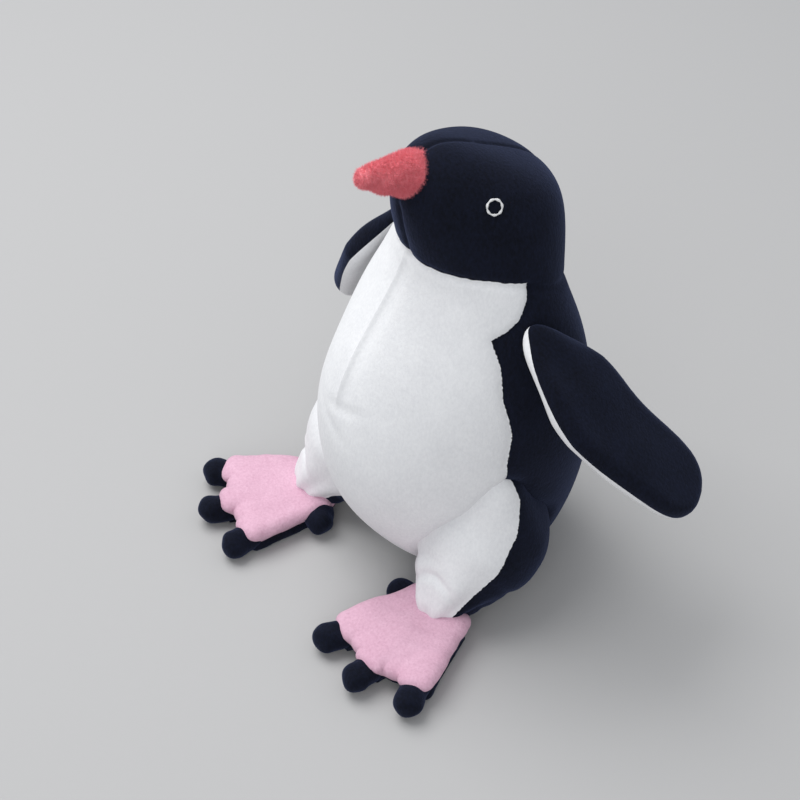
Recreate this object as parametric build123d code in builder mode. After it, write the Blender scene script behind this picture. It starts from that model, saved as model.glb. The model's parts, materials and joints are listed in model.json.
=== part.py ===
from build123d import *
import os
from math import acos, cos, radians, sin, tau

os.makedirs("parts", exist_ok=True)

# Sitting plush penguin, facing -Y, its left side at +X, resting on z = 0.
# Short-pile plush panels are sewn into closed skins round loose fibre fill.

# ---- Driving dimensions, in millimetres and degrees ----
SITTING_HEIGHT = 203      # seat to crown
BODY_WIDTH = 108          # across the widest part of the belly
BODY_DEPTH = 116          # belly to back
FABRIC = 1.6              # plush fabric, backing and pile together
FILL_GAP = 0.2            # the fill is this loose inside its skin
JOINT_GAP = 0.5           # clear space between pieces that move on each other

SEAT_SEAM_HEIGHT = 4      # seam round the seat panel
COLLAR_HEIGHT = 161       # throat seam, at the front
COLLAR_CREST = (-14, 160)  # the collar seam passes here on its way to the point, (y, z)
COLLAR_POINT = (0, 157)   # tip of the white collar at the side of the neck
COLLAR_BOW = (-6, 145)    # the collar's rear edge swings through here
COLLAR_NOTCH = (-17, 138)  # notch under the collar point
BELLY_EDGE = (-16, 90)    # side seam between belly and back
BELLY_EDGE_LOW = (-16, 0)
NAPE_FALL = 0.42          # fall of the nape seam for each millimetre towards the back
PELLET_BAG_RADIUS = 23
PELLET_BAG_HEIGHT = 15
PELLET_BAG_ROUND = 5

EYE_Y = -8
EYE_Z = 187
EYE_DIAMETER = 7
EYE_THREAD = 1.1          # width of the embroidered line
EYE_PROUD = 0.8           # the stitches stand this far off the pile

BILL_HEIGHT = 195         # centre of the bill's base
BILL_LENGTH = 27
BILL_BASE_RADIUS = 10.5
BILL_TIP_RADIUS = 4.5
BILL_RISE = 12            # the bill points up by this angle
BILL_BURIED = 8           # the cone starts behind the face and is trimmed to it

SHOULDER_Y = 1
SHOULDER_Z = 131
SHOULDER_STAND_OFF = 8    # hinge line of the sewn root, off the side of the body
LEFT_SHOULDER_SLOPE = 23  # the root seam falls towards the back
RIGHT_SHOULDER_SLOPE = -12  # the right flipper is turned, so that its root rises
FLIPPER_LENGTH = 88       # hinge line to tip
FLIPPER_ROOT = 4.5        # the rounded root reaches this far behind the hinge line
FLIPPER_FRONT = 20        # leading edge, off the middle of the root seam
FLIPPER_REAR = 18         # trailing edge
FLIPPER_THICKNESS = 11
FLIPPER_ROUND = 4.5       # width of the stuffed edge's round
# Section of the stuffed edge: share of the half thickness, share of the round taken off.
FLIPPER_EDGE = [(0, 0), (0.5, 0.18), (0.85, 0.52), (1, 1)]
# Outline: share of the length, share of the width to the front (negative) or to the rear.
FLIPPER_OUTLINE = [
    (0, 0),
    (0.09, -0.8),
    (0.38, -1),
    (0.73, -0.72),
    (0.98, -0.1),
    (0.96, 0.62),
    (0.71, 0.98),
    (0.38, 0.9),
    (0.09, 0.78),
]
LEFT_FLIPPER_OUT = 44     # the flippers stand out from the body by these angles
RIGHT_FLIPPER_OUT = 35
LEFT_FLIPPER_BACK = 42    # the left one is swung backwards
RIGHT_FLIPPER_BACK = 0

HIP_FLAT = 36             # plane on which the leg lies against the body
LEFT_HIP = (-15, 35)      # centres of the thighs from the side, (y, z)
RIGHT_HIP = (-28, 36)     # the right thigh lies further forward
THIGH_RADIUS = 28
THIGH_OUT = 3             # centre of the thigh, outside the hip plane
POCKET_MARGIN = 11        # recess in the body, beyond the thigh's radius
ANKLE_X = 45
ANKLE_Z = 16
ANKLE_RADIUS = 10
LEFT_ANKLE_Y = -39
RIGHT_ANKLE_Y = -49       # the right leg is stretched a little further forward
ANKLE_GAP = 1.3           # clear space round the ankle in the back of the foot
LEG_SEAM_AHEAD = 7        # the leg's side seam crosses this far in front of the hip
LEG_SEAM_TURN = 13        # and it runs this much steeper than the leg

FOOT_REACH = 50           # ankle to the centre of a front toe
FOOT_THICKNESS = 12
SOLE_THICKNESS = 5
FOOT_ROUND = 2.5
INSTEP_HALF_WIDTH = 14    # half width of the foot at the ankle
WEB_REACH = 44            # the web ends here over each toe
WEB_SCALLOP = 37          # and here between two toes
WEB_TOE_ANGLE = 8         # half of the angle that the web spans over a toe
WEB_BULGE = 1             # the web's edge bows out this far over a toe
TOE_RADIUS = 6.5
TOE_ROOT = 36             # the toe's tube starts this far from the ankle
TOE_SPREAD = 28           # angle between neighbouring toes
TOE_OUT = 15              # the foot turns outwards
HALLUX_REACH = 20
HALLUX_ROOT = 8
HALLUX_TURN = 74          # inwards from the middle toe

# The body's shape: rings from the seat to the crown, drawn at these sizes and stretched to
# the sizes above. Each is (front y, front z, back y, back z, half width, narrowing to the front).
DRAWN_HEIGHT = 203
DRAWN_WIDTH = 108
DRAWN_DEPTH = 116
BODY_RINGS = [
    (-24, 0, 27, 0, 25, 0),
    (-37, 10, 36, 8, 36, 0),
    (-53, 30, 43, 24, 45, 0),
    (-64, 54, 48, 44, 51, 0.04),
    (-66.5, 82, 49.5, 65, 54, 0.08),
    (-59, 109, 46, 87, 54, 0.12),
    (-46, 133, 40.5, 107, 51, 0.16),
    (-33.5, 154, 35, 126, 45.5, 0.2),
    (-33, 169, 31, 144, 38.5, 0.22),
    (-35, 184, 31.5, 163, 32.5, 0.24),
    (-31, 197, 28, 181, 26, 0.24),
    (-19, 204, 15, 192, 14, 0.2),
]
CROWN = (-2, 200)
RING_POINTS = 16

SIDES = {"left": 1, "right": -1}
stretch_x = BODY_WIDTH / DRAWN_WIDTH
stretch_y = BODY_DEPTH / DRAWN_DEPTH
stretch_z = SITTING_HEIGHT / DRAWN_HEIGHT
far_y = 2 * BODY_DEPTH
far_z = 2 * SITTING_HEIGHT
fill_inset = FABRIC + FILL_GAP


def on_body(y, z):
    """A drawn (y, z) place, stretched with the body."""
    return (y * stretch_y, z * stretch_z)


def save(piece, name):
    piece.label = name
    export_step(piece, f"parts/{name}.step")


# ---- Body and head ----
def body_form(inset):
    """The closed pear of body and head, its whole surface moved in by inset."""
    faces = []
    for front_y, front_z, back_y, back_z, half_width, narrowing in BODY_RINGS:
        front = Vector(0, *on_body(front_y, front_z))
        back = Vector(0, *on_body(back_y, back_z))
        lift = inset if front_z == 0 else 0
        half_depth = (front - back).length / 2 - inset
        half = half_width * stretch_x - inset
        middle = (front + back) / 2 + Vector(0, 0, lift)
        facing = Vector(1, 0, 0).cross(back - front)
        with BuildSketch(Plane(origin=middle, x_dir=(1, 0, 0), z_dir=facing)) as ring:
            with BuildLine():
                angles = [tau * step / RING_POINTS for step in range(RING_POINTS)]
                Spline(
                    *[(half * sin(a) * (1 - narrowing * cos(a)), -half_depth * cos(a)) for a in angles],
                    periodic=True,
                )
            make_face()
        faces.append(ring.sketch.face())
    crown_y, crown_z = on_body(*CROWN)
    with BuildPart() as form:
        loft(sections=faces + [Vertex(0, crown_y, crown_z - inset)])
    return form.part


def hip_place(side):
    return on_body(*(LEFT_HIP if side > 0 else RIGHT_HIP))


def hip_pocket(side, inset):
    """The flat-bottomed recess that a thigh turns in, round the hip axis."""
    with BuildPart() as pocket:
        with BuildSketch(Plane.YZ.offset(side * (HIP_FLAT * stretch_x - inset))):
            with Locations(hip_place(side)):
                Circle(THIGH_RADIUS + POCKET_MARGIN + inset)
        extrude(amount=side * BODY_WIDTH)
    return pocket.part


def trimmed(form, inside=(), outside=()):
    """A form cut down to what lies inside some regions and outside others."""
    with BuildPart() as piece:
        add(form)
        for region in inside:
            add(region, mode=Mode.INTERSECT)
        for region in outside:
            add(region, mode=Mode.SUBTRACT)
    return piece.part


def torso_form(inset):
    return trimmed(body_form(inset), outside=[hip_pocket(side, inset) for side in SIDES.values()])


def outside_point(start, direction):
    """The last point where a ray leaves the body, and the way its surface faces there."""
    ray = Axis(start, direction)
    hits = [hit for face in torso.faces() for hit in face.find_intersection_points(ray)]
    return max(hits, key=lambda hit: (hit[0] - Vector(start)).dot(Vector(direction)))


torso = torso_form(0)
lining = torso_form(FABRIC)

collar_start = (-far_y, COLLAR_HEIGHT * stretch_z)
nape_end_z = COLLAR_POINT[1] - NAPE_FALL * (2 * DRAWN_DEPTH)

with BuildPart() as head_region:
    with BuildSketch(Plane.YZ):
        with BuildLine():
            Polyline(
                collar_start,
                on_body(*COLLAR_CREST),
                on_body(*COLLAR_POINT),
                on_body(2 * DRAWN_DEPTH, nape_end_z),
                (far_y, far_z),
                (-far_y, far_z),
                close=True,
            )
        make_face()
    extrude(amount=BODY_WIDTH, both=True)

with BuildPart() as belly_region:
    with BuildSketch(Plane.YZ):
        with BuildLine():
            Polyline(collar_start, on_body(*COLLAR_CREST), on_body(*COLLAR_POINT))
            ThreePointArc(on_body(*COLLAR_POINT), on_body(*COLLAR_BOW), on_body(*COLLAR_NOTCH))
            Polyline(
                on_body(*COLLAR_NOTCH),
                on_body(*BELLY_EDGE),
                on_body(*BELLY_EDGE_LOW),
                (-far_y, 0),
                collar_start,
            )
        make_face()
    extrude(amount=BODY_WIDTH, both=True)

with BuildPart() as seat_region:
    with BuildSketch():
        Rectangle(2 * BODY_WIDTH, far_y)
    extrude(amount=SEAT_SEAM_HEIGHT)


def half_space(side):
    """Everything on one side of the middle plane."""
    with BuildPart() as half:
        with BuildSketch(Plane.YZ):
            Rectangle(2 * far_y, 2 * far_z)
        extrude(amount=side * BODY_WIDTH)
    return half.part


head = head_region.part
belly = belly_region.part
seat = seat_region.part
halves = {name: half_space(side) for name, side in SIDES.items()}
skin = trimmed(torso, outside=[lining])
save(trimmed(skin, inside=[seat]), "seat_panel")
for name in SIDES:
    half_skin = trimmed(skin, inside=[halves[name]], outside=[seat])
    save(trimmed(half_skin, inside=[head]), f"head_panel_{name}")
    save(trimmed(half_skin, inside=[belly]), f"belly_panel_{name}")
    save(trimmed(half_skin, outside=[head, belly]), f"back_panel_{name}")

# A cloth bag of plastic pellets low in the body keeps the toy sitting.
bag_floor = FABRIC + 2 * FILL_GAP
with BuildPart() as pellet_bag:
    with BuildSketch(Plane.XY.offset(bag_floor)):
        Circle(PELLET_BAG_RADIUS)
    extrude(amount=PELLET_BAG_HEIGHT)
    fillet(pellet_bag.faces().sort_by(Axis.Z)[-1].edges(), PELLET_BAG_ROUND)
save(pellet_bag.part, "pellet_bag")

with BuildPart() as bag_room:
    with BuildSketch(Plane.XY.offset(FABRIC)):
        Circle(PELLET_BAG_RADIUS + FILL_GAP)
    extrude(amount=PELLET_BAG_HEIGHT + 2 * FILL_GAP)
save(trimmed(torso_form(fill_inset), outside=[bag_room.part]), "body_fill")


# ---- Embroidered eyes ----
stitch_layer = trimmed(body_form(-EYE_PROUD), outside=[torso])
for name, side in SIDES.items():
    eye_point, eye_facing = outside_point((0, *on_body(EYE_Y, EYE_Z)), (side, 0, 0))
    with BuildPart() as eye_ring:
        with BuildSketch(Plane(origin=eye_point, z_dir=eye_facing)):
            Circle(EYE_DIAMETER / 2)
            Circle(EYE_DIAMETER / 2 - EYE_THREAD, mode=Mode.SUBTRACT)
        extrude(amount=EYE_DIAMETER / 2, both=True)
    save(trimmed(eye_ring.part, inside=[stitch_layer]), f"eye_ring_{name}")


# ---- Bill ----
bill_base = outside_point((0, 0, BILL_HEIGHT * stretch_z), (0, -1, 0))[0]
bill_way = Vector(0, -cos(radians(BILL_RISE)), sin(radians(BILL_RISE)))
bill_plane = Plane(origin=bill_base, x_dir=bill_way, z_dir=(1, 0, 0))


def bill_form(inset):
    """The blunt cone, its surface moved in by inset."""
    base = BILL_BASE_RADIUS - inset
    tip = BILL_TIP_RADIUS - inset
    shoulder = BILL_LENGTH - BILL_TIP_RADIUS
    with BuildPart() as cone:
        with BuildSketch(bill_plane):
            with BuildLine():
                Polyline(
                    (shoulder + tip, 0),
                    (-BILL_BURIED, 0),
                    (-BILL_BURIED, base),
                    (0, base),
                    (shoulder, tip),
                )
                RadiusArc((shoulder, tip), (shoulder + tip, 0), tip)
            make_face()
        revolve(axis=Axis(bill_base, bill_way))
        add(torso, mode=Mode.SUBTRACT)
    return cone.part


bill = bill_form(0)
bill_lining = bill_form(FABRIC)
for name in SIDES:
    save(trimmed(bill, inside=[halves[name]], outside=[bill_lining]), f"bill_{name}")
save(bill_form(fill_inset), "bill_fill")


# ---- Flippers ----
def flipper_half(plane, thickness, inset):
    """One half of the flat stuffed flipper, from its middle plane out; x runs to the tip, y back."""
    rings = []
    for height, rounding in FLIPPER_EDGE:
        margin = inset + rounding * FLIPPER_ROUND
        root = margin - FLIPPER_ROOT
        span = FLIPPER_LENGTH - margin - root
        front = FLIPPER_FRONT - margin
        rear = FLIPPER_REAR - margin
        with BuildSketch(plane.offset(height * thickness)) as outline:
            with BuildLine():
                places = [(root + along * span, across) for along, across in FLIPPER_OUTLINE]
                Spline(
                    *[(x, share * (front if share < 0 else rear)) for x, share in places],
                    periodic=True,
                )
            make_face()
        rings.append(outline.sketch.face())
    with BuildPart() as pad:
        loft(sections=rings, ruled=True)
    return pad.part


for name, side in SIDES.items():
    swing = radians(LEFT_FLIPPER_BACK if name == "left" else RIGHT_FLIPPER_BACK)
    out = radians(LEFT_FLIPPER_OUT if name == "left" else RIGHT_FLIPPER_OUT)
    slope = radians(LEFT_SHOULDER_SLOPE if name == "left" else RIGHT_SHOULDER_SLOPE)
    shoulder = (0, *on_body(SHOULDER_Y, SHOULDER_Z))
    shoulder_point, shoulder_facing = outside_point(shoulder, (side, 0, 0))
    hinge = shoulder_point + shoulder_facing * SHOULDER_STAND_OFF
    length_way = Vector(side * sin(out) * cos(swing), sin(out) * sin(swing), -cos(out))
    seam_way = Vector(0, cos(slope), -sin(slope))
    plane = Plane(origin=hinge, x_dir=length_way, z_dir=length_way.cross(seam_way))
    print(f"flipper_{name}: hinge at {hinge}, axis {plane.y_dir}")
    half_thickness = FLIPPER_THICKNESS / 2
    for layer, way in (("outer", side), ("inner", -side)):
        form = flipper_half(plane, way * half_thickness, 0)
        hollow = flipper_half(plane, way * (half_thickness - FABRIC), FABRIC)
        save(trimmed(form, outside=[hollow]), f"flipper_{layer}_{name}")
    fill_halves = [flipper_half(plane, way * (half_thickness - fill_inset), fill_inset) for way in (1, -1)]
    with BuildPart() as flipper_fill:
        add(fill_halves)
    save(flipper_fill.part, f"flipper_fill_{name}")


# ---- Legs ----
def leg_form(side, ankle, inset):
    """A teardrop from thigh to ankle, flat where it lies against the body."""
    hip_plane_x = HIP_FLAT * stretch_x + JOINT_GAP + inset
    thigh = Vector(side * (HIP_FLAT * stretch_x + THIGH_OUT), *hip_place(side))
    reach = (ankle - thigh).length
    way = (ankle - thigh).normalized()
    big = THIGH_RADIUS - inset
    small = ANKLE_RADIUS - inset
    lean = acos((big - small) / reach)
    big_turn = (lean + tau / 2) / 2
    big_edge = (big * cos(lean), big * sin(lean))
    small_edge = (reach + small * cos(lean), small * sin(lean))
    with BuildPart() as drop:
        with BuildSketch(Plane(origin=thigh, x_dir=way, z_dir=way.cross(Vector(0, 0, 1)))):
            with BuildLine():
                ThreePointArc((-big, 0), (big * cos(big_turn), big * sin(big_turn)), big_edge)
                Line(big_edge, small_edge)
                ThreePointArc(
                    small_edge,
                    (reach + small * cos(lean / 2), small * sin(lean / 2)),
                    (reach + small, 0),
                )
                Line((reach + small, 0), (-big, 0))
            make_face()
        revolve(axis=Axis(thigh, way))
        with BuildSketch(Plane.YZ.offset(side * hip_plane_x)):
            Rectangle(2 * far_y, 2 * far_z)
        extrude(amount=side * BODY_WIDTH, mode=Mode.INTERSECT)
    return drop.part


def foot_form(plane, low, high, inset=0, rounded=False):
    """A slice of the webbed foot between two heights; x runs to the middle toe, y outwards."""
    with BuildPart() as slab:
        with BuildSketch(plane.offset(low)):
            with BuildLine():
                edges = []
                for toe in (-1, 0, 1):
                    middle = toe * TOE_SPREAD
                    edges.append([polar(WEB_REACH, middle + turn * WEB_TOE_ANGLE) for turn in (-1, 1)])
                    ThreePointArc(edges[-1][0], polar(WEB_REACH + WEB_BULGE, middle), edges[-1][1])
                for gap in (0, 1):
                    scallop = polar(WEB_SCALLOP, (gap - 0.5) * TOE_SPREAD)
                    ThreePointArc(edges[gap][1], scallop, edges[gap + 1][0])
                Polyline(edges[2][1], (0, INSTEP_HALF_WIDTH), (0, -INSTEP_HALF_WIDTH), edges[0][0])
            make_face()
            if inset:
                offset(amount=-inset, kind=Kind.INTERSECTION, mode=Mode.REPLACE)
        extrude(amount=high - low)
        if rounded:
            fillet(slab.faces().sort_by(Axis.Z)[-1].edges(), FOOT_ROUND)
    return slab.part


def polar(distance, angle):
    return (distance * cos(radians(angle)), distance * sin(radians(angle)))


def toe_form(plane, root, reach, angle, radius):
    """A stuffed toe lying on the floor, its round end at reach from the ankle."""
    start = plane.from_local_coords((*polar(root, angle), TOE_RADIUS))
    end = plane.from_local_coords((*polar(reach, angle), TOE_RADIUS))
    way = (end - start).normalized()
    with BuildPart() as toe:
        with BuildSketch(Plane(origin=start, x_dir=way, z_dir=way.cross(Vector(0, 0, 1)))):
            with BuildLine():
                Polyline((reach - root + radius, 0), (0, 0), (0, radius), (reach - root, radius))
                RadiusArc((reach - root, radius), (reach - root + radius, 0), radius)
            make_face()
        revolve(axis=Axis(start, way))
    return toe.part


for name, side in SIDES.items():
    ankle_y = LEFT_ANKLE_Y if name == "left" else RIGHT_ANKLE_Y
    ankle = Vector(side * ANKLE_X * stretch_x, ankle_y * stretch_y, ANKLE_Z)
    hip_y, hip_z = hip_place(side)
    print(f"leg_{name}: hip axis through y={hip_y:.2f} z={hip_z:.2f}, ankle at {ankle}")

    # The side seam is a flat cut down the leg, in front of the hip.
    leg_way = Vector(0, ankle.Y - hip_y, ankle.Z - hip_z).normalized()
    seam_way = leg_way.rotate(Axis.X, LEG_SEAM_TURN)
    seam_up = Vector(1, 0, 0).cross(seam_way)
    seam_up = seam_up if seam_up.Z > 0 else -seam_up
    seam_origin = Vector(0, hip_y, hip_z) + seam_up * LEG_SEAM_AHEAD
    with BuildPart() as front_of_seam:
        with BuildSketch(Plane(origin=seam_origin, x_dir=(1, 0, 0), z_dir=seam_up)):
            Rectangle(far_y, far_y)
        extrude(amount=far_y)

    leg_skin = trimmed(leg_form(side, ankle, 0), outside=[leg_form(side, ankle, FABRIC)])
    save(trimmed(leg_skin, inside=[front_of_seam.part]), f"leg_front_{name}")
    save(trimmed(leg_skin, outside=[front_of_seam.part]), f"leg_back_{name}")
    save(leg_form(side, ankle, fill_inset), f"leg_fill_{name}")

    # ---- Foot of the same side ----
    forward = Vector(side * sin(radians(TOE_OUT)), -cos(radians(TOE_OUT)), 0)
    foot_plane = Plane(origin=(ankle.X, ankle.Y, 0), x_dir=forward, z_dir=(0, 0, 1))
    print(f"foot_{name}: ankle axis {foot_plane.y_dir}")
    with BuildPart() as ankle_room:
        with Locations(ankle):
            Sphere(ANKLE_RADIUS + ANKLE_GAP)

    room = ankle_room.part
    sole = foot_form(foot_plane, 0, SOLE_THICKNESS)
    sole_hollow = foot_form(foot_plane, FABRIC, SOLE_THICKNESS, inset=FABRIC)
    save(trimmed(sole, outside=[sole_hollow, room]), f"foot_sole_{name}")
    top = foot_form(foot_plane, SOLE_THICKNESS, FOOT_THICKNESS, rounded=True)
    top_hollow = foot_form(foot_plane, SOLE_THICKNESS, FOOT_THICKNESS - FABRIC, inset=FABRIC)
    save(trimmed(top, outside=[top_hollow, room]), f"foot_top_{name}")
    fill = foot_form(foot_plane, fill_inset, FOOT_THICKNESS - fill_inset, inset=fill_inset)
    save(trimmed(fill, outside=[room]), f"foot_fill_{name}")

    web = foot_form(foot_plane, 0, FOOT_THICKNESS)
    toes = {
        "toe_inner": (TOE_ROOT, FOOT_REACH, -side * TOE_SPREAD),
        "toe_middle": (TOE_ROOT, FOOT_REACH, 0),
        "toe_outer": (TOE_ROOT, FOOT_REACH, side * TOE_SPREAD),
        "hallux": (HALLUX_ROOT, HALLUX_REACH, -side * HALLUX_TURN),
    }
    for toe_name, (root, reach, angle) in toes.items():
        toe = toe_form(foot_plane, root, reach, angle, TOE_RADIUS)
        save(trimmed(toe, outside=[web, room]), f"{toe_name}_{name}")
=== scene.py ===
import json
import math

import bpy
import numpy as np
from mathutils import Matrix, Vector
from mathutils.bvhtree import BVHTree


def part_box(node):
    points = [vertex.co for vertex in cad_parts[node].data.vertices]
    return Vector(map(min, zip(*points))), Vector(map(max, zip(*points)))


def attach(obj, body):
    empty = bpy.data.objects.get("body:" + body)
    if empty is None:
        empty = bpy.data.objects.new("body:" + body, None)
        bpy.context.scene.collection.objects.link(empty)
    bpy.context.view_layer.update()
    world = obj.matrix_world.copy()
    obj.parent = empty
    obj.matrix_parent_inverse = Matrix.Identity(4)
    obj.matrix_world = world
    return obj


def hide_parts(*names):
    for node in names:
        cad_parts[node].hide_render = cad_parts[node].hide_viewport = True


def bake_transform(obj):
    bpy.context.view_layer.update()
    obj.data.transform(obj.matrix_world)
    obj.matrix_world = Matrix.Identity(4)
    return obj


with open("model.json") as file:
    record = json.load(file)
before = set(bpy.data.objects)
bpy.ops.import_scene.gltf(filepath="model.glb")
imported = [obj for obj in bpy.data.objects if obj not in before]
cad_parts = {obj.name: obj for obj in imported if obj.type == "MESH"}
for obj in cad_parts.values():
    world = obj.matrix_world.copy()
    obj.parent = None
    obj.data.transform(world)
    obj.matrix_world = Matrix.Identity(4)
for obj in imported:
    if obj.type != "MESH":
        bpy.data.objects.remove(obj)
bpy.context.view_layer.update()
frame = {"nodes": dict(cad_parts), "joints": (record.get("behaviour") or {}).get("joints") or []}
joints = {j["name"]: j for j in frame["joints"]}
SIDES = {"left": 1, "right": -1}
scene = bpy.context.scene


# ---- Table and light ----
# The toy sits on a pale cloth-covered table, under one large soft window-like lamp, so its
# shadows are wide and faint. The table runs on behind it with no edge.
TABLE_COLOUR = (0.45, 0.447, 0.445)
TABLE_SIZE = 60.0

bpy.ops.object.select_all(action="DESELECT")
bpy.ops.mesh.primitive_plane_add(size=TABLE_SIZE, location=(0, 0, -0.0004))
table = bpy.context.active_object
table.name = "table"
table_cloth = bpy.data.materials.new("table_cloth")
table_cloth.use_nodes = True
table_cloth.node_tree.nodes["Principled BSDF"].inputs["Base Color"].default_value = (*TABLE_COLOUR, 1)
table_cloth.node_tree.nodes["Principled BSDF"].inputs["Roughness"].default_value = 0.95
table.data.materials.append(table_cloth)

for lamp_name, place, aim, lamp_size, watts in (
    ("soft_lamp", (-0.55, -0.25, 1.30), (0.0, 0.0, 0.08), 1.1, 17.0),
    ("front_lamp", (1.05, -0.95, 0.90), (0.0, 0.0, 0.08), 0.9, 6.0),
):
    lamp = bpy.data.lights.new(lamp_name, "AREA")
    lamp.size = lamp_size
    lamp.energy = watts
    lamp_object = bpy.data.objects.new(lamp_name, lamp)
    lamp_object.location = place
    lamp_object.rotation_mode = "QUATERNION"
    lamp_object.rotation_quaternion = (Vector(aim) - Vector(place)).to_track_quat("-Z", "Y")
    scene.collection.objects.link(lamp_object)

sky = bpy.data.worlds.new("room")
scene.world = sky
sky.use_nodes = True
sky.node_tree.nodes["Background"].inputs["Color"].default_value = (0.92, 0.95, 1.0, 1)
sky.node_tree.nodes["Background"].inputs["Strength"].default_value = 0.55
scene.view_settings.view_transform = "Standard"

camera_data = bpy.data.cameras.new("camera")
camera_data.lens = 72
camera_data.sensor_width = 36
camera = bpy.data.objects.new("camera", camera_data)
scene.collection.objects.link(camera)
camera_back = Vector((0.6536, -0.3774, 0.6561))
camera_right = Vector((0.5, 0.8660, 0.0))
camera_up = camera_back.cross(camera_right)
camera.matrix_world = Matrix.Translation((0.4248, -0.2793, 0.5137)) @ Matrix(
    (camera_right, camera_up, camera_back)
).transposed().to_4x4()
scene.camera = camera


# ---- Plush ----
# All the skins are knitted velboa: a soft backing with a dense pile about 1.5 mm long. The pile
# lies in small patches, which makes it lighter or darker, and it catches light at its edges.
def plush_group():
    """Fine pile: a value for how the nap lies, and a bumped normal."""
    group = bpy.data.node_groups.new("plush_pile", "ShaderNodeTree")
    group.interface.new_socket("Pile size", in_out="INPUT", socket_type="NodeSocketFloat").default_value = 900
    group.interface.new_socket("Height", in_out="INPUT", socket_type="NodeSocketFloat").default_value = 0.3
    group.interface.new_socket("Nap", in_out="OUTPUT", socket_type="NodeSocketFloat")
    group.interface.new_socket("Patches", in_out="OUTPUT", socket_type="NodeSocketFloat")
    group.interface.new_socket("Normal", in_out="OUTPUT", socket_type="NodeSocketVector")
    nodes = group.nodes
    links = group.links
    taken = nodes.new("NodeGroupInput")
    given = nodes.new("NodeGroupOutput")
    place = nodes.new("ShaderNodeTexCoord")
    stretch = nodes.new("ShaderNodeMapping")
    stretch.inputs["Scale"].default_value = (1, 1, 0.55)
    links.new(place.outputs["Object"], stretch.inputs["Vector"])
    fibre = nodes.new("ShaderNodeTexNoise")
    fibre.inputs["Detail"].default_value = 3
    fibre.inputs["Roughness"].default_value = 0.65
    links.new(stretch.outputs["Vector"], fibre.inputs["Vector"])
    links.new(taken.outputs["Pile size"], fibre.inputs["Scale"])
    patch = nodes.new("ShaderNodeTexNoise")
    patch.inputs["Scale"].default_value = 70
    patch.inputs["Detail"].default_value = 4
    patch.inputs["Roughness"].default_value = 0.6
    links.new(place.outputs["Object"], patch.inputs["Vector"])
    tuft = nodes.new("ShaderNodeMath")
    tuft.operation = "MULTIPLY_ADD"
    tuft.inputs[1].default_value = 0.5
    links.new(patch.outputs["Fac"], tuft.inputs[0])
    links.new(fibre.outputs["Fac"], tuft.inputs[2])
    bump = nodes.new("ShaderNodeBump")
    bump.inputs["Distance"].default_value = 0.0012
    links.new(taken.outputs["Height"], bump.inputs["Strength"])
    links.new(tuft.outputs["Value"], bump.inputs["Height"])
    links.new(fibre.outputs["Fac"], given.inputs["Nap"])
    links.new(patch.outputs["Fac"], given.inputs["Patches"])
    links.new(bump.outputs["Normal"], given.inputs["Normal"])
    return group


pile_group = plush_group()


def plush(name, deep, bright, sheen, sheen_tint, pile_size=900, height=0.3):
    """A plush material between a deep and a bright colour, with a sheen."""
    material = bpy.data.materials.new(name)
    material.use_nodes = True
    nodes = material.node_tree.nodes
    links = material.node_tree.links
    shader = nodes["Principled BSDF"]
    pile = nodes.new("ShaderNodeGroup")
    pile.node_tree = pile_group
    pile.inputs["Pile size"].default_value = pile_size
    pile.inputs["Height"].default_value = height
    both = nodes.new("ShaderNodeMath")
    both.operation = "MULTIPLY_ADD"
    both.inputs[1].default_value = 0.6
    links.new(pile.outputs["Patches"], both.inputs[0])
    links.new(pile.outputs["Nap"], both.inputs[2])
    spread = nodes.new("ShaderNodeMapRange")
    spread.inputs["From Min"].default_value = 0.55
    spread.inputs["From Max"].default_value = 1.05
    links.new(both.outputs["Value"], spread.inputs["Value"])
    colour = nodes.new("ShaderNodeMix")
    colour.data_type = "RGBA"
    colour.inputs["A"].default_value = (*deep, 1)
    colour.inputs["B"].default_value = (*bright, 1)
    links.new(spread.outputs["Result"], colour.inputs["Factor"])
    links.new(colour.outputs["Result"], shader.inputs["Base Color"])
    links.new(pile.outputs["Normal"], shader.inputs["Normal"])
    shader.inputs["Roughness"].default_value = 0.95
    shader.inputs["Specular IOR Level"].default_value = 0.15
    shader.inputs["Sheen Weight"].default_value = sheen
    shader.inputs["Sheen Roughness"].default_value = 0.45
    shader.inputs["Sheen Tint"].default_value = (*sheen_tint, 1)
    return material


navy_plush = plush("navy_plush", (0.0022, 0.0028, 0.0058), (0.0058, 0.0078, 0.0185), 0.16, (0.30, 0.40, 0.85))
white_plush = plush("white_plush", (0.74, 0.745, 0.76), (0.83, 0.835, 0.845), 0.15, (1, 1, 1), height=0.16)
pink_plush = plush("pink_plush", (0.60, 0.345, 0.45), (0.74, 0.47, 0.585), 0.25, (1, 0.85, 0.92))
coral_plush = plush("coral_plush", (0.74, 0.14, 0.18), (0.92, 0.30, 0.34), 0.6, (1, 0.75, 0.75), height=0.3)

fibre_fill = plush("fibre_fill", (0.80, 0.80, 0.78), (0.90, 0.90, 0.88), 0.1, (1, 1, 1), pile_size=400, height=0.8)
bag_cotton = plush("bag_cotton", (0.66, 0.64, 0.58), (0.78, 0.76, 0.70), 0.0, (1, 1, 1), pile_size=1500, height=0.2)


def fresh_object(name, vertices, faces):
    """A new mesh object at the origin."""
    mesh = bpy.data.meshes.new(name)
    mesh.from_pydata(vertices, [], faces)
    mesh.update()
    made = bpy.data.objects.new(name, mesh)
    scene.collection.objects.link(made)
    return made


def only(target):
    """Leaves just this object selected and active."""
    bpy.ops.object.select_all(action="DESELECT")
    target.hide_viewport = False
    target.select_set(True)
    bpy.context.view_layer.objects.active = target


def points(target):
    return np.array([v.co for v in target.data.vertices], float).reshape(-1, 3)


def move_points(target, places):
    target.data.vertices.foreach_set("co", np.asarray(places, np.float32).ravel())
    target.data.update()


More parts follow.
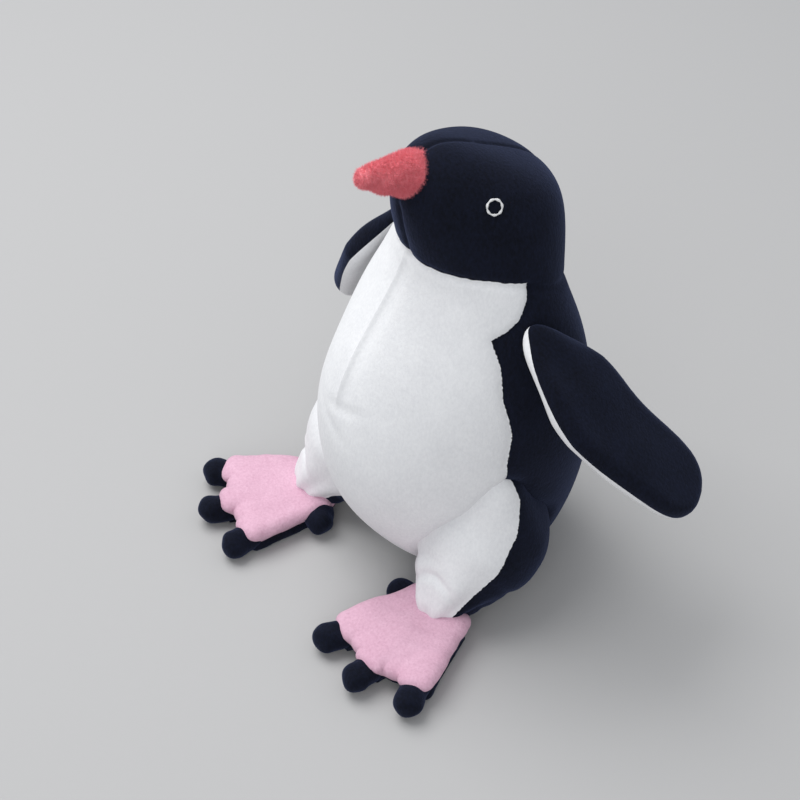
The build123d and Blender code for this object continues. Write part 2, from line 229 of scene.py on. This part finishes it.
def point_normals(target):
    found = np.zeros(len(target.data.vertices) * 3, np.float32)
    target.data.vertex_normals.foreach_get("vector", found)
    return found.reshape(-1, 3).astype(float)


def slack(places, wave, seed):
    """A smooth uneven value from -1 to 1, as loose stuffing gives."""
    rng = np.random.default_rng(seed)
    total = np.zeros(len(places))
    for _ in range(9):
        way = rng.normal(size=3)
        way /= np.linalg.norm(way)
        total += np.sin(places @ way * (math.tau / wave) * rng.uniform(0.7, 1.6) + rng.uniform(0, math.tau))
    return total / 4.5


def line_distance(y, z, line):
    """Distance in the side view from each point to a bent line."""
    best = np.full(len(y), 1e9)
    for (y0, z0), (y1, z1) in zip(line[:-1], line[1:]):
        dy, dz = y1 - y0, z1 - z0
        t = np.clip(((y - y0) * dy + (z - z0) * dz) / (dy * dy + dz * dz), 0, 1)
        best = np.minimum(best, np.hypot(y - y0 - t * dy, z - z0 - t * dz))
    return best


def ragged(line, step, depth, seed):
    """The line in short steps, each pushed aside a little, as the pile blurs a cut edge."""
    rng = np.random.default_rng(seed)
    made = []
    for (y0, z0), (y1, z1) in zip(line[:-1], line[1:]):
        length = math.hypot(y1 - y0, z1 - z0)
        count = max(1, round(length / step))
        for k in range(count):
            push = rng.uniform(-depth, depth) if k else 0
            made.append((
                y0 + (y1 - y0) * k / count - push * (z1 - z0) / length,
                z0 + (z1 - z0) * k / count + push * (y1 - y0) / length,
            ))
    made.append(line[-1])
    return made


def side_prism(name, outline, low_x, high_x):
    """A closed block with this outline in the side view, between two places across."""
    count = len(outline)
    vertices = [(x, y, z) for x in (low_x, high_x) for y, z in outline]
    faces = [tuple(range(count))[::-1], tuple(range(count, 2 * count))]
    faces += [(k, (k + 1) % count, count + (k + 1) % count, count + k) for k in range(count)]
    block = fresh_object(name, vertices, faces)
    only(block)
    bpy.ops.object.mode_set(mode="EDIT")
    bpy.ops.mesh.select_all(action="SELECT")
    bpy.ops.mesh.quads_convert_to_tris()
    bpy.ops.mesh.normals_make_consistent(inside=False)
    bpy.ops.object.mode_set(mode="OBJECT")
    return block


def cut_piece(name, form, block, operation="INTERSECT"):
    """A copy of the form, cut by the block."""
    piece = bpy.data.objects.new(name, form.data.copy())
    scene.collection.objects.link(piece)
    only(piece)
    cut = piece.modifiers.new("cut", "BOOLEAN")
    cut.operation = operation
    cut.solver = "EXACT"
    cut.object = block
    bpy.ops.object.modifier_apply(modifier="cut")
    return piece


def finish_piece(piece, material, body, nodes):
    """Gives a stuffed piece its cloth and its place in the toy."""
    piece.data.materials.clear()
    piece.data.materials.append(material)
    only(piece)
    bpy.ops.object.shade_smooth_by_angle(angle=math.radians(50))
    if body:
        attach(piece, body)
    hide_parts(*nodes)


# ---- Body and head skin ----
# One pear of plush, sewn from a head, a belly, a back and a seat, the first three in left and
# right halves. It is stuffed firmly, so it swells between its seams and the seams sink in.
PEAR_RINGS = [  # front y, front z, back y, back z, half width, narrowing to the front, in mm
    (-24, 0, 27, 0, 25, 0),
    (-37, 10, 36, 8, 36, 0),
    (-53, 30, 43, 24, 45, 0),
    (-64, 54, 48, 44, 51, 0.04),
    (-66.5, 82, 49.5, 65, 54, 0.08),
    (-59, 109, 46, 87, 54, 0.12),
    (-46, 133, 40.5, 107, 51, 0.16),
    (-33.5, 154, 35, 126, 45.5, 0.2),
    (-33, 169, 31, 144, 38.5, 0.22),
    (-35, 184, 31.5, 163, 32.5, 0.24),
    (-31, 197, 28, 181, 26, 0.24),
    (-19, 204, 15, 192, 14, 0.2),
    (-2.2, 200.2, -1.8, 199.8, 0.3, 0.2),
]
AROUND = 288
RINGS_BETWEEN = 13
SEAT_SEAM = 0.004
THROAT_SEAM = [(-0.232, 0.161), (-0.014, 0.160), (0.0, 0.157)]
COLLAR_EDGE = [(0.0, 0.157), (-0.0022, 0.151), (-0.006, 0.145), (-0.011, 0.141), (-0.017, 0.138)]
SIDE_SEAM = [(-0.017, 0.138), (-0.0155, 0.128), (-0.0165, 0.115), (-0.014, 0.100), (-0.016, 0.085),
             (-0.0150, 0.070), (-0.016, 0.045), (-0.016, -0.01)]
NAPE_SEAM = [(0.0, 0.157), (0.232, 0.0596)]


def ring_curve(table, between):
    """Rings between the drawn ones, on natural cubic curves through them."""
    table = np.array(table, float)
    count = len(table)
    slopes = np.zeros((count, count))
    right = np.zeros((count, table.shape[1]))
    slopes[0, 0] = slopes[-1, -1] = 1
    for i in range(1, count - 1):
        slopes[i, i - 1:i + 2] = (1, 4, 1)
        right[i] = 6 * (table[i - 1] - 2 * table[i] + table[i + 1])
    bend = np.linalg.solve(slopes, right)
    made = []
    for i in range(count - 1):
        for step in range(between):
            t = step / between
            a, b = table[i], table[i + 1]
            curved = ((1 - t) ** 3 - (1 - t)) * bend[i] / 6 + (t ** 3 - t) * bend[i + 1] / 6
            made.append((1 - t) * a + t * b + curved)
    made.append(table[-1])
    return np.array(made)


def pear(name, around, between):
    """The closed pear of body and head."""
    turns = np.arange(around) / around * math.tau
    angles = turns - 0.2 * np.sin(2 * turns)
    vertices = []
    for fy, fz, by, bz, half, narrow in ring_curve(PEAR_RINGS, between) / np.array([1000] * 5 + [1]):
        front, back = np.array([0, fy, fz]), np.array([0, by, bz])
        middle = (front + back) / 2
        for a in angles:
            place = middle + math.cos(a) * (front - middle)
            place = place + np.array([half * math.sin(a) * (1 - narrow * math.cos(a)), 0, 0])
            vertices.append(place)
    vertices.append(np.array([0, 0.0015, 0]))
    count = len(vertices) // around
    faces = []
    for i in range(count - 1):
        for k in range(around):
            n = (k + 1) % around
            faces.append((i * around + k, i * around + n, (i + 1) * around + n, (i + 1) * around + k))
    faces.append(tuple((count - 1) * around + k for k in range(around)))
    low_middle = len(vertices) - 1
    faces += [(low_middle, (k + 1) % around, k) for k in range(around)]
    form = fresh_object(name, vertices, faces)
    only(form)
    bpy.ops.object.mode_set(mode="EDIT")
    bpy.ops.mesh.select_all(action="SELECT")
    bpy.ops.mesh.normals_make_consistent(inside=False)
    bpy.ops.object.mode_set(mode="OBJECT")
    return form


def bell(distance, width):
    return np.exp(-(distance / width) ** 2)


def fade(value, low, high):
    t = np.clip((value - low) / (high - low), 0, 1)
    return t * t * (3 - 2 * t)


def sewn_shape(form, pressed_by):
    """Sinks the seams, raises the belly's ridge and presses the pear in where limbs lie on it."""
    p = points(form)
    x, y, z = p.T
    push = 0.0007 * slack(p, 0.055, 3)
    seams = np.minimum(line_distance(y, z, THROAT_SEAM), line_distance(y, z, NAPE_SEAM))
    push -= 0.0012 * bell(seams, 0.0016) + 0.0007 * bell(seams, 0.007)
    edges = np.minimum(line_distance(y, z, COLLAR_EDGE), line_distance(y, z, SIDE_SEAM))
    push -= 0.0009 * bell(edges, 0.0013) + 0.0005 * bell(edges, 0.005)
    push -= (0.0009 * bell(z - SEAT_SEAM, 0.0014)) * (z < 0.02)
    on_head = z > np.interp(y, [-0.05, 0.0, 0.232], [0.161, 0.157, 0.0596])
    front = y < 0
    crown = on_head & ~(front & (z < 0.186))
    push -= np.where(crown, 0.0007 * bell(x, 0.0011) + 0.0002 * bell(x, 0.004), 0)
    throat = on_head & front & (z < 0.19)
    push -= np.where(throat, (0.0010 * bell(x, 0.0016) + 0.0010 * bell(x, 0.006)) * fade(-z, -0.19, -0.178), 0)
    ridge = np.where(front & ~on_head, fade(z, 0.092, 0.108), 0)
    push += ridge * (0.0009 * bell(x, 0.0012) - 0.0003 * bell(np.abs(x) - 0.004, 0.0025))
    back_line = np.where((y > 0) & ~on_head & (z > SEAT_SEAM), 1, 0)
    push -= back_line * (0.0011 * bell(x, 0.0012) + 0.0006 * bell(x, 0.005))
    belly = front & ~on_head & (z > 0.07) & (z < 0.115)
    push -= np.where(belly, 0.0009 * bell(z - 0.097 - 0.25 * x, 0.0016) * bell(x - 0.004, 0.011), 0)
    push -= np.where(belly, 0.0006 * bell(z - 0.088 + 0.35 * x, 0.0018) * bell(x + 0.002, 0.012), 0)
    for tree, depth, width in pressed_by:
        near = np.array([tree.find_nearest(Vector(q))[3] for q in p])
        push -= depth * bell(near, width)
    push[z < 0.001] = 0
    move_points(form, p + push[:, None] * point_normals(form))


# ---- Legs ----
# Each leg is a plump teardrop from the thigh down to the ankle, white plush in front and navy
# behind, meeting in a seam along its outer side. The ankle is gathered where the foot is sewn on.
ANKLE_ROUND = 0.0125
LEG_TOP_ROUND = 0.010
LEG_SHARE = 0.95
leg_forms = {}


def teardrop(name, thigh, ankle, big, small):
    """A closed drop from the thigh's ball to the ankle's."""
    only_way = (ankle - thigh)
    reach = only_way.length
    way = only_way.normalized()
    bpy.ops.object.select_all(action="DESELECT")
    bpy.ops.mesh.primitive_uv_sphere_add(segments=120, ring_count=90, radius=1, location=(0, 0, 0))
    drop = bpy.context.active_object
    drop.name = name
    p = points(drop)
    along = (1 - p[:, 2]) / 2
    lean = math.acos((big - small) / reach)
    spine = -big + along * (reach + big + small)
    radius = np.where(
        spine < big * math.cos(lean),
        np.sqrt(np.maximum(big ** 2 - spine ** 2, 0)),
        np.where(
            spine > reach + small * math.cos(lean),
            np.sqrt(np.maximum(small ** 2 - (spine - reach) ** 2, 0)),
            (big - spine * math.cos(lean)) / math.sin(lean),
        ),
    )
    angle = np.arctan2(p[:, 1], p[:, 0])
    across = way.cross(Vector((0, 0, 1))).normalized()
    over = across.cross(way).normalized()
    made = (
        np.array(thigh)
        + spine[:, None] * np.array(way)
        + (radius * np.cos(angle))[:, None] * np.array(across)
        + (radius * np.sin(angle))[:, None] * np.array(over)
    )
    move_points(drop, made)
    only(drop)
    bpy.ops.object.mode_set(mode="EDIT")
    bpy.ops.mesh.select_all(action="SELECT")
    bpy.ops.mesh.normals_make_consistent(inside=False)
    bpy.ops.object.mode_set(mode="OBJECT")
    return drop


def leg_shape(side, thigh, ankle, top, big):
    """The thigh's ball drawn out down to the ankle and up the side of the body, with its folds."""
    lower = teardrop(f"leg_form_{side}", thigh, ankle, big, ANKLE_ROUND)
    upper = teardrop(f"leg_top_{side}", thigh, top, big, LEG_TOP_ROUND)
    bpy.ops.object.select_all(action="DESELECT")
    lower.select_set(True)
    upper.select_set(True)
    bpy.context.view_layer.objects.active = lower
    bpy.ops.object.join()
    remesh = lower.modifiers.new("remesh", "REMESH")
    remesh.mode = "VOXEL"
    remesh.voxel_size = 0.0011
    bpy.ops.object.modifier_apply(modifier="remesh")
    soften = lower.modifiers.new("soften", "SMOOTH")
    soften.factor = 0.5
    soften.iterations = 12
    bpy.ops.object.modifier_apply(modifier="soften")
    q = points(lower)
    n = point_normals(lower)
    way = (ankle - thigh).normalized()
    reach = (ankle - thigh).length
    across = way.cross(Vector((0, 0, 1))).normalized()
    over = across.cross(way).normalized()
    spine = (q - np.array(thigh)) @ np.array(way)
    turn = np.arctan2((q - np.array(thigh)) @ np.array(over), (q - np.array(thigh)) @ np.array(across))
    push = 0.0010 * slack(q, 0.03, 5 if side == "left" else 6)
    gather = fade(spine, reach - 0.014, reach - 0.002)
    push += gather * (0.0006 * np.sin(turn * 7 + 1.5 * np.sin(turn * 2)) - 0.0003)
    fold = spine - (reach - 0.012) - 0.003 * np.sin(turn + 1)
    push -= 0.0017 * bell(fold, 0.0020) * (0.5 + 0.5 * np.sin(turn + 2.6))
    fold = spine - (reach - 0.002) - 0.002 * np.sin(turn * 3)
    push -= 0.0014 * bell(fold, 0.0018) * (0.5 + 0.5 * np.sin(turn * 2 - 1))
    move_points(lower, q + push[:, None] * n)
    return lower


for side, sign in SIDES.items():
    hip = Vector(joints[f"hip_{side}"]["pos_m"])
    ankle = Vector(joints[f"ankle_{side}"]["pos_m"])
    low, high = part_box(f"leg_front_{side}")
    low_back, high_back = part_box(f"leg_back_{side}")
    big = hip.z - min(low.z, low_back.z)
    outer = max(abs(low.x), abs(high.x))
    thigh = Vector((sign * (outer - big), hip.y, hip.z))
    top = Vector((sign * 0.0455, hip.y + 0.001, hip.z + 0.031))
    leg_forms[side] = leg_shape(side, thigh, ankle, top, LEG_SHARE * big)

leg_trees = {
    side: BVHTree.FromObject(form, bpy.context.evaluated_depsgraph_get()) for side, form in leg_forms.items()
}

pear_form = pear("pear_form", AROUND, RINGS_BETWEEN)
sewn_shape(pear_form, [(leg_trees["left"], 0.0022, 0.0028), (leg_trees["right"], 0.0022, 0.0028)])
pear_tree = BVHTree.FromObject(pear_form, bpy.context.evaluated_depsgraph_get())

far = 0.25
throat = ragged(THROAT_SEAM, 0.0009, 0.0002, 11)
collar = ragged(COLLAR_EDGE, 0.0006, 0.0002, 12)
side_line = ragged(SIDE_SEAM, 0.0006, 0.0002, 13)
regions = {
    "head": throat + [(0.232, 0.0596), (far, far), (-0.232, far)],
    "belly": throat + collar[1:] + side_line[1:] + [(-0.232, -0.01)],
    "back": collar + side_line[1:] + [(far, -0.01), (0.232, 0.0596)],
}
panel_look = {
    "head": (navy_plush, "navy_plush", 0.8),
    "belly": (white_plush, "white_plush", 0.8),
    "back": (navy_plush, "navy_plush", 0.75),
}
above_seat = side_prism("above_seat", [(-far, SEAT_SEAM), (far, SEAT_SEAM), (far, far), (-far, far)], -far, far)
below_seat = side_prism("below_seat", [(-far, -far), (far, -far), (far, SEAT_SEAM), (-far, SEAT_SEAM)], -far, far)
upper_form = cut_piece("upper_form", pear_form, above_seat)
for region, outline in regions.items():
    material, slot_name, fill = panel_look[region]
    for side, sign in SIDES.items():
        block = side_prism("cutting_block", outline, 0 if sign > 0 else -far, far if sign > 0 else 0)
        panel = cut_piece(f"{region}_{side}", upper_form, block)
        bpy.data.objects.remove(block)
        finish_piece(panel, material, "torso", [f"{region}_panel_{side}"])
seat = cut_piece("seat", pear_form, below_seat)
finish_piece(seat, navy_plush, "torso", ["seat_panel"])

LEG_SEAM = [  # behind the hip and above it, in shares of the leg's reach and drop
    (0.0, 1.95), (0.08, 1.55), (0.16, 1.21), (-0.02, 0.65), (-0.42, 0.05), (-0.87, -0.48), (-1.33, -1.04),
    (-1.8, -1.6),
]
LEG_DROP = 0.026
for side, sign in SIDES.items():
    hip = Vector(joints[f"hip_{side}"]["pos_m"])
    ankle = Vector(joints[f"ankle_{side}"]["pos_m"])
    reach = hip.y - ankle.y
    seam_line = [(hip.y + a * reach, hip.z + b * LEG_DROP) for a, b in LEG_SEAM]
    seam_line = ragged(seam_line, 0.0006, 0.0002, 20 + sign)
    for layer, side_y, material, slot_name in (
        ("front", -far, white_plush, "white_plush"),
        ("back", far, navy_plush, "navy_plush"),
    ):
        outline = seam_line + [(side_y, seam_line[-1][1]), (side_y, seam_line[0][1])]
        block = side_prism("cutting_block", outline, -far, far)
        panel = cut_piece(f"leg_{layer}_{side}_skin", leg_forms[side], block)
        bpy.data.objects.remove(block)
        finish_piece(panel, material, f"leg_{side}", [f"leg_{layer}_{side}"])


# ---- Soft copies ----
# The smaller stuffed pieces keep the outline they are cut to, but the stuffing rounds every edge.
def soft_copy(name, nodes, voxel, rounds, extra=()):
    """Copies of CAD solids made one closed, evenly meshed and rounded form."""
    copies = []
    for node in nodes:
        copy = bpy.data.objects.new(name, frame["nodes"][node].data.copy())
        scene.collection.objects.link(copy)
        copies.append(copy)
    copies += list(extra)
    bpy.ops.object.select_all(action="DESELECT")
    for copy in copies:
        copy.select_set(True)
    bpy.context.view_layer.objects.active = copies[0]
    if len(copies) > 1:
        bpy.ops.object.join()
    made = bpy.context.active_object
    made.name = name
    bpy.ops.object.mode_set(mode="EDIT")
    bpy.ops.mesh.select_all(action="SELECT")
    bpy.ops.mesh.remove_doubles(threshold=0.000002)
    bpy.ops.object.mode_set(mode="OBJECT")
    remesh = made.modifiers.new("remesh", "REMESH")
    remesh.mode = "VOXEL"
    remesh.voxel_size = voxel
    bpy.ops.object.modifier_apply(modifier="remesh")
    soften = made.modifiers.new("soften", "SMOOTH")
    soften.factor = 0.5
    soften.iterations = rounds
    bpy.ops.object.modifier_apply(modifier="soften")
    return made


# ---- Flippers ----
# Flat stuffed flippers, navy outside and white inside, sewn together round the edge. The root is
# tucked into the side of the body, with a few folds there.
FLIPPER_TUCK = 0.013
for side, sign in SIDES.items():
    nodes = [f"flipper_outer_{side}", f"flipper_inner_{side}", f"flipper_fill_{side}"]
    form = soft_copy(f"flipper_form_{side}", nodes, 0.0011, 10)
    hinge = np.array(joints[f"shoulder_{side}"]["pos_m"])
    seam_way = np.array(joints[f"shoulder_{side}"]["axis"]) * (-sign)
    outer_low, outer_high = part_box(nodes[0])
    inner_low, inner_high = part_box(nodes[1])
    p = points(form)
    middle = p.mean(0)
    length_way = middle - hinge
    length_way -= seam_way * (length_way @ seam_way)
    length_way /= np.linalg.norm(length_way)
    thick_way = np.cross(length_way, seam_way)
    outwards = np.array((outer_low + outer_high) / 2 - (inner_low + inner_high) / 2)
    if thick_way @ outwards < 0:
        thick_way = -thick_way
    u, v, w = (p - hinge) @ length_way, (p - hinge) @ seam_way, (p - hinge) @ thick_way
    swell = 1 + 0.10 * bell(v, 0.012) * fade(u, 0.0, 0.02)
    w = w * swell
    w += 0.0006 * slack(p, 0.03, 31)
    u = np.where(u > 0, 0.965 * u, u)
    v = 1.08 * v
    shoulder = np.clip((0.024 - u) / 0.030, 0, 1)
    v = np.where(v < 0, v * (1 - (0.20 if side == "left" else 0.45) * shoulder), v)
    rootward = np.clip((0.014 - u) / 0.0185, 0, 1)
    u = u - FLIPPER_TUCK * rootward ** 2
    v = v * (1 - 0.25 * rootward ** 2)
    w = w * (1 - 0.25 * rootward)
    w = w + 0.0015 * rootward * np.sin(v / 0.0035)
    p = hinge + u[:, None] * length_way + v[:, None] * seam_way + w[:, None] * thick_way
    move_points(form, p)
    frame_matrix = Matrix((Vector(length_way), Vector(seam_way), Vector(thick_way))).transposed().to_4x4()
    frame_matrix.translation = Vector(hinge)
    seam_w = 0.0004 if side == "left" else -0.0022
    for layer, material, slot_name, low_w, high_w in (
        ("outer", navy_plush, "navy_plush", seam_w, 0.05),
        ("inner", white_plush, "white_plush", -0.05, seam_w),
    ):
        bpy.ops.object.select_all(action="DESELECT")
        bpy.ops.mesh.primitive_cube_add(size=1, location=(0, 0, 0))
        block = bpy.context.active_object
        block.data.transform(
            Matrix.Translation((0, 0, (low_w + high_w) / 2)) @ Matrix.Diagonal((0.4, 0.4, high_w - low_w, 1))
        )
        block.data.transform(frame_matrix)
        if frame_matrix.determinant() < 0:
            block.data.flip_normals()
        panel = cut_piece(f"flipper_{layer}_{side}_skin", form, block)
        bpy.data.objects.remove(block)
        finish_piece(panel, material, None, [f"flipper_{layer}_{side}"])
        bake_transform(panel)
    bpy.data.objects.remove(form)


# ---- Feet ----
# Flat webbed feet: a pink plush top and a navy sole round thin stuffing, with three navy toes in
# front and one behind. The leg's gathered end is sewn down on the back of the foot.
FOOT_SEAM = 0.005
WEB_MIDDLE = 0.0330
TOE_SPREAD = 28
TOE_ROUND = 0.0063
TOE_LENGTH = 0.011


def web_place(ankle, side, turn):
    """The middle of the web between two toes, turned to lie along it."""
    low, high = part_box(f"toe_middle_{side}")
    ahead = (low + high) / 2 - ankle
    angle = math.atan2(ahead.y, ahead.x) + math.radians(turn * TOE_SPREAD)
    place = Vector((ankle.x + WEB_MIDDLE * math.cos(angle), ankle.y + WEB_MIDDLE * math.sin(angle), 0.006))
    return Matrix.Translation(place) @ Matrix.Rotation(angle, 4, "Z")


for side, sign in SIDES.items():
    ankle = Vector(joints[f"ankle_{side}"]["pos_m"])
    turned = math.atan2(joints[f"ankle_{side}"]["axis"][1], joints[f"ankle_{side}"]["axis"][0])
    bpy.ops.object.select_all(action="DESELECT")
    bpy.ops.mesh.primitive_uv_sphere_add(segments=48, ring_count=24, radius=1, location=(0, 0, 0))
    heel = bpy.context.active_object
    heel.data.transform(
        Matrix.Translation((ankle.x, ankle.y - 0.004, 0.0062))
        @ Matrix.Rotation(turned, 4, "Z")
        @ Matrix.Diagonal((0.0145, 0.0115, 0.0061, 1))
    )
    webs = [heel]
    for turn in (-0.5, 0.5):
        bpy.ops.object.select_all(action="DESELECT")
        bpy.ops.mesh.primitive_uv_sphere_add(segments=40, ring_count=20, radius=1, location=(0, 0, 0))
        web = bpy.context.active_object
        web.data.transform(web_place(ankle, side, turn) @ Matrix.Diagonal((0.0105, 0.0100, 0.0056, 1)))
        webs.append(web)
    nodes = [f"foot_top_{side}", f"foot_sole_{side}", f"foot_fill_{side}"]
    form = soft_copy(f"foot_form_{side}", nodes, 0.0009, 26, extra=webs)
    p = points(form)
    n = point_normals(form)
    push = 0.0008 * slack(p, 0.022, 41 + sign) + 0.0002 * slack(p, 0.009, 43 + sign)
    push += 0.0022 * fade(p[:, 2], 0.006, 0.010)
    push -= 0.0009 * bell(p[:, 2] - FOOT_SEAM, 0.0012)
    push[p[:, 2] < 0.0012] = 0
    move_points(form, p + push[:, None] * n)
    for layer, material, slot_name, keep_up in (
        ("top", pink_plush, "pink_plush", True),
        ("sole", navy_plush, "navy_plush", False),
    ):
        panel = bpy.data.objects.new(f"foot_{layer}_{side}_skin", form.data.copy())
        scene.collection.objects.link(panel)
        only(panel)
        bpy.ops.object.mode_set(mode="EDIT")
        bpy.ops.mesh.select_all(action="SELECT")
        bpy.ops.mesh.bisect(
            plane_co=(0, 0, FOOT_SEAM), plane_no=(0, 0, 1), use_fill=True, clear_inner=keep_up, clear_outer=not keep_up
        )
        bpy.ops.object.mode_set(mode="OBJECT")
        finish_piece(panel, material, f"foot_{side}", [f"foot_{layer}_{side}"])
    bpy.data.objects.remove(form)
    for toe in ("toe_inner", "toe_middle", "toe_outer", "hallux"):
        tube = points(frame["nodes"][f"{toe}_{side}"])
        away = tube[:, :2] - np.array(ankle)[:2]
        farthest = away[np.argmax(np.hypot(away[:, 0], away[:, 1]))]
        length = float(np.hypot(*farthest))
        way = Vector((*(farthest / length), 0))
        tip = Vector((ankle.x, ankle.y, TOE_ROUND)) + way * (length - TOE_ROUND)
        root = Vector((ankle.x, ankle.y, 0.0054)) + way * (length - TOE_ROUND - TOE_LENGTH)
        form = teardrop(f"{toe}_{side}_skin", tip, root, TOE_ROUND, 0.0055)
        p = points(form)
        n = point_normals(form)
        move_points(form, p + (0.0005 * slack(p, 0.010, 51))[:, None] * n)
        finish_piece(form, navy_plush, f"foot_{side}", [f"{toe}_{side}"])


# ---- Bill ----
# A blunt cone of coral plush in two halves, stuffed hard. Its pile is longer than the body's.
BILL_TRIM = np.array([0.79, 0.78, 0.81])
BILL_PILE = 20  # fibres to a square millimetre
BILL_PILE_LENGTH = 0.0016


def pile_on(piece, each_square_mm, length, seed, lie=(0, 0.25, -0.6)):
    """Short separate fibres standing in the skin, as three-sided spikes that lean the way the nap lies."""
    mesh = piece.data
    mesh.calc_loop_triangles()
    corners = np.array([t.vertices for t in mesh.loop_triangles])
    p = points(piece)
    a, b, c = p[corners[:, 0]], p[corners[:, 1]], p[corners[:, 2]]
    normal = np.cross(b - a, c - a)
    area = np.linalg.norm(normal, axis=1) / 2
    normal /= np.maximum(2 * area[:, None], 1e-12)
    shown = np.array([not hidden_wall(q) for q in (a + b + c) / 3])
    area = np.where(shown, area, 0)
    rng = np.random.default_rng(seed)
    count = int(area.sum() * 1e6 * each_square_mm)
    chosen = rng.choice(len(area), count, p=area / area.sum())
    s, t = rng.random(count), rng.random(count)
    over = s + t > 1
    s[over], t[over] = 1 - s[over], 1 - t[over]
    root = a[chosen] + s[:, None] * (b - a)[chosen] + t[:, None] * (c - a)[chosen]
    up = normal[chosen]
    way = up + np.array(lie) + rng.normal(0, 0.35, (count, 3))
    way /= np.linalg.norm(way, axis=1)[:, None]
    aside = np.cross(way, rng.normal(size=(count, 3)))
    aside /= np.linalg.norm(aside, axis=1)[:, None]
    other = np.cross(way, aside)
    long = length * rng.uniform(0.6, 1.15, count)[:, None]
    thick = 0.00011
    base = root - 0.0003 * up
    ring = [
        base + thick * (math.cos(k * math.tau / 3) * aside + math.sin(k * math.tau / 3) * other) for k in range(3)
    ]
    tip = root + long * way
    vertices = np.stack([*ring, tip], 1).reshape(-1, 3)
    first = 4 * np.arange(count)[:, None]
    faces = np.concatenate([first + np.array(f) for f in ((0, 1, 3), (1, 2, 3), (2, 0, 3), (0, 2, 1))])
    return fresh_object(f"{piece.name}_pile", vertices.tolist(), faces.tolist())


def hidden_wall(place):
    """True on the cut walls inside a piece, which lie on the toy's middle plane or inside its skin."""
    return abs(place[0]) < 1e-5


form = soft_copy("bill_form", ["bill_left", "bill_right", "bill_fill"], 0.0008, 6)
p = points(form)
n = point_normals(form)
bill_low, bill_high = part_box("bill_left")
bill_root = np.array([0, bill_high.y - 0.004, (bill_low.z + bill_high.z) / 2 - 0.001])
push = 0.0005 * slack(p, 0.014, 61) + 0.0002 * slack(p, 0.004, 62)
p = p + push[:, None] * n
move_points(form, bill_root + (p - bill_root) * BILL_TRIM)
for side, sign in SIDES.items():
    square = [(-far, -far), (far, -far), (far, far), (-far, far)]
    block = side_prism("cutting_block", square, 0 if sign > 0 else -far, far if sign > 0 else 0)
    half = cut_piece(f"bill_{side}_skin", form, block)
    bpy.data.objects.remove(block)
    finish_piece(half, coral_plush, "torso", [f"bill_{side}"])
    fuzz = pile_on(half, BILL_PILE, BILL_PILE_LENGTH, 71 + sign)
    fuzz.data.materials.append(coral_plush)
    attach(fuzz, "torso")
bpy.data.objects.remove(form)


# ---- Eyes ----
# Each eye is an open ring of white satin stitch, worked through the navy plush.
EYE_STITCHES = 40
EYE_RADIUS = 0.00285
THREAD_RADIUS = 0.00038
eye_thread = plush("eye_thread", (0.70, 0.70, 0.70), (0.84, 0.84, 0.84), 0.2, (1, 1, 1), pile_size=3000, height=0.2)
for side, sign in SIDES.items():
    low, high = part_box(f"eye_ring_{side}")
    centre = (low + high) / 2
    ring = points(frame["nodes"][f"eye_ring_{side}"])
    facing = np.linalg.svd(ring - ring.mean(0), full_matrices=False)[2][2]
    facing = Vector(facing if facing[0] * sign > 0 else -facing)
    bpy.ops.object.select_all(action="DESELECT")
    bpy.ops.mesh.primitive_torus_add(
        major_segments=240, minor_segments=12, major_radius=EYE_RADIUS, minor_radius=THREAD_RADIUS,
        location=(0, 0, 0),
    )
    stitch = bpy.context.active_object
    stitch.name = f"eye_ring_{side}_thread"
    p = points(stitch)
    n = point_normals(stitch)
    turn = np.arctan2(p[:, 1], p[:, 0])
    strands = 0.00009 * np.sin(turn * EYE_STITCHES + 6 * p[:, 2] / 0.0005) + 0.00012 * np.sin(turn * 7 + sign)
    move_points(stitch, p + strands[:, None] * n)
    stitch.data.transform(facing.to_track_quat("Z", "Y").to_matrix().to_4x4())
    sewn_at = pear_tree.find_nearest(centre + Vector((0, -0.0016, 0.0012)))[0]
    stitch.data.transform(Matrix.Translation(sewn_at + facing * 0.0002))
    stitch.data.materials.append(eye_thread)
    only(stitch)
    bpy.ops.object.shade_smooth()
    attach(stitch, "torso")
    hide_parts(f"eye_ring_{side}")


# ---- Stuffing ----
# Loose polyester fibre fills every skin, and a cotton bag of pellets lies low in the body. None
# of it shows. Each piece keeps clear of the skin round it.
FILL_CLEAR = 0.0024
stuffed = {"body_fill": "torso", "bill_fill": "torso", "pellet_bag": "torso"}
for side in SIDES:
    stuffed[f"flipper_fill_{side}"] = f"flipper_{side}"
    stuffed[f"leg_fill_{side}"] = f"leg_{side}"
    stuffed[f"foot_fill_{side}"] = f"foot_{side}"
for node, body in stuffed.items():
    lump = soft_copy(f"{node}_soft", [node], 0.003 if node == "body_fill" else 0.0015, 3)
    move_points(lump, points(lump) - FILL_CLEAR * point_normals(lump))
    if node == "bill_fill":
        move_points(lump, bill_root + (points(lump) - bill_root) * BILL_TRIM * 0.8)
    is_bag = node == "pellet_bag"
    finish_piece(
        lump,
        bag_cotton if is_bag else fibre_fill,
        body,
        [node],
    )

for spare in [pear_form, upper_form, above_seat, below_seat, *leg_forms.values()]:
    bpy.data.objects.remove(spare)
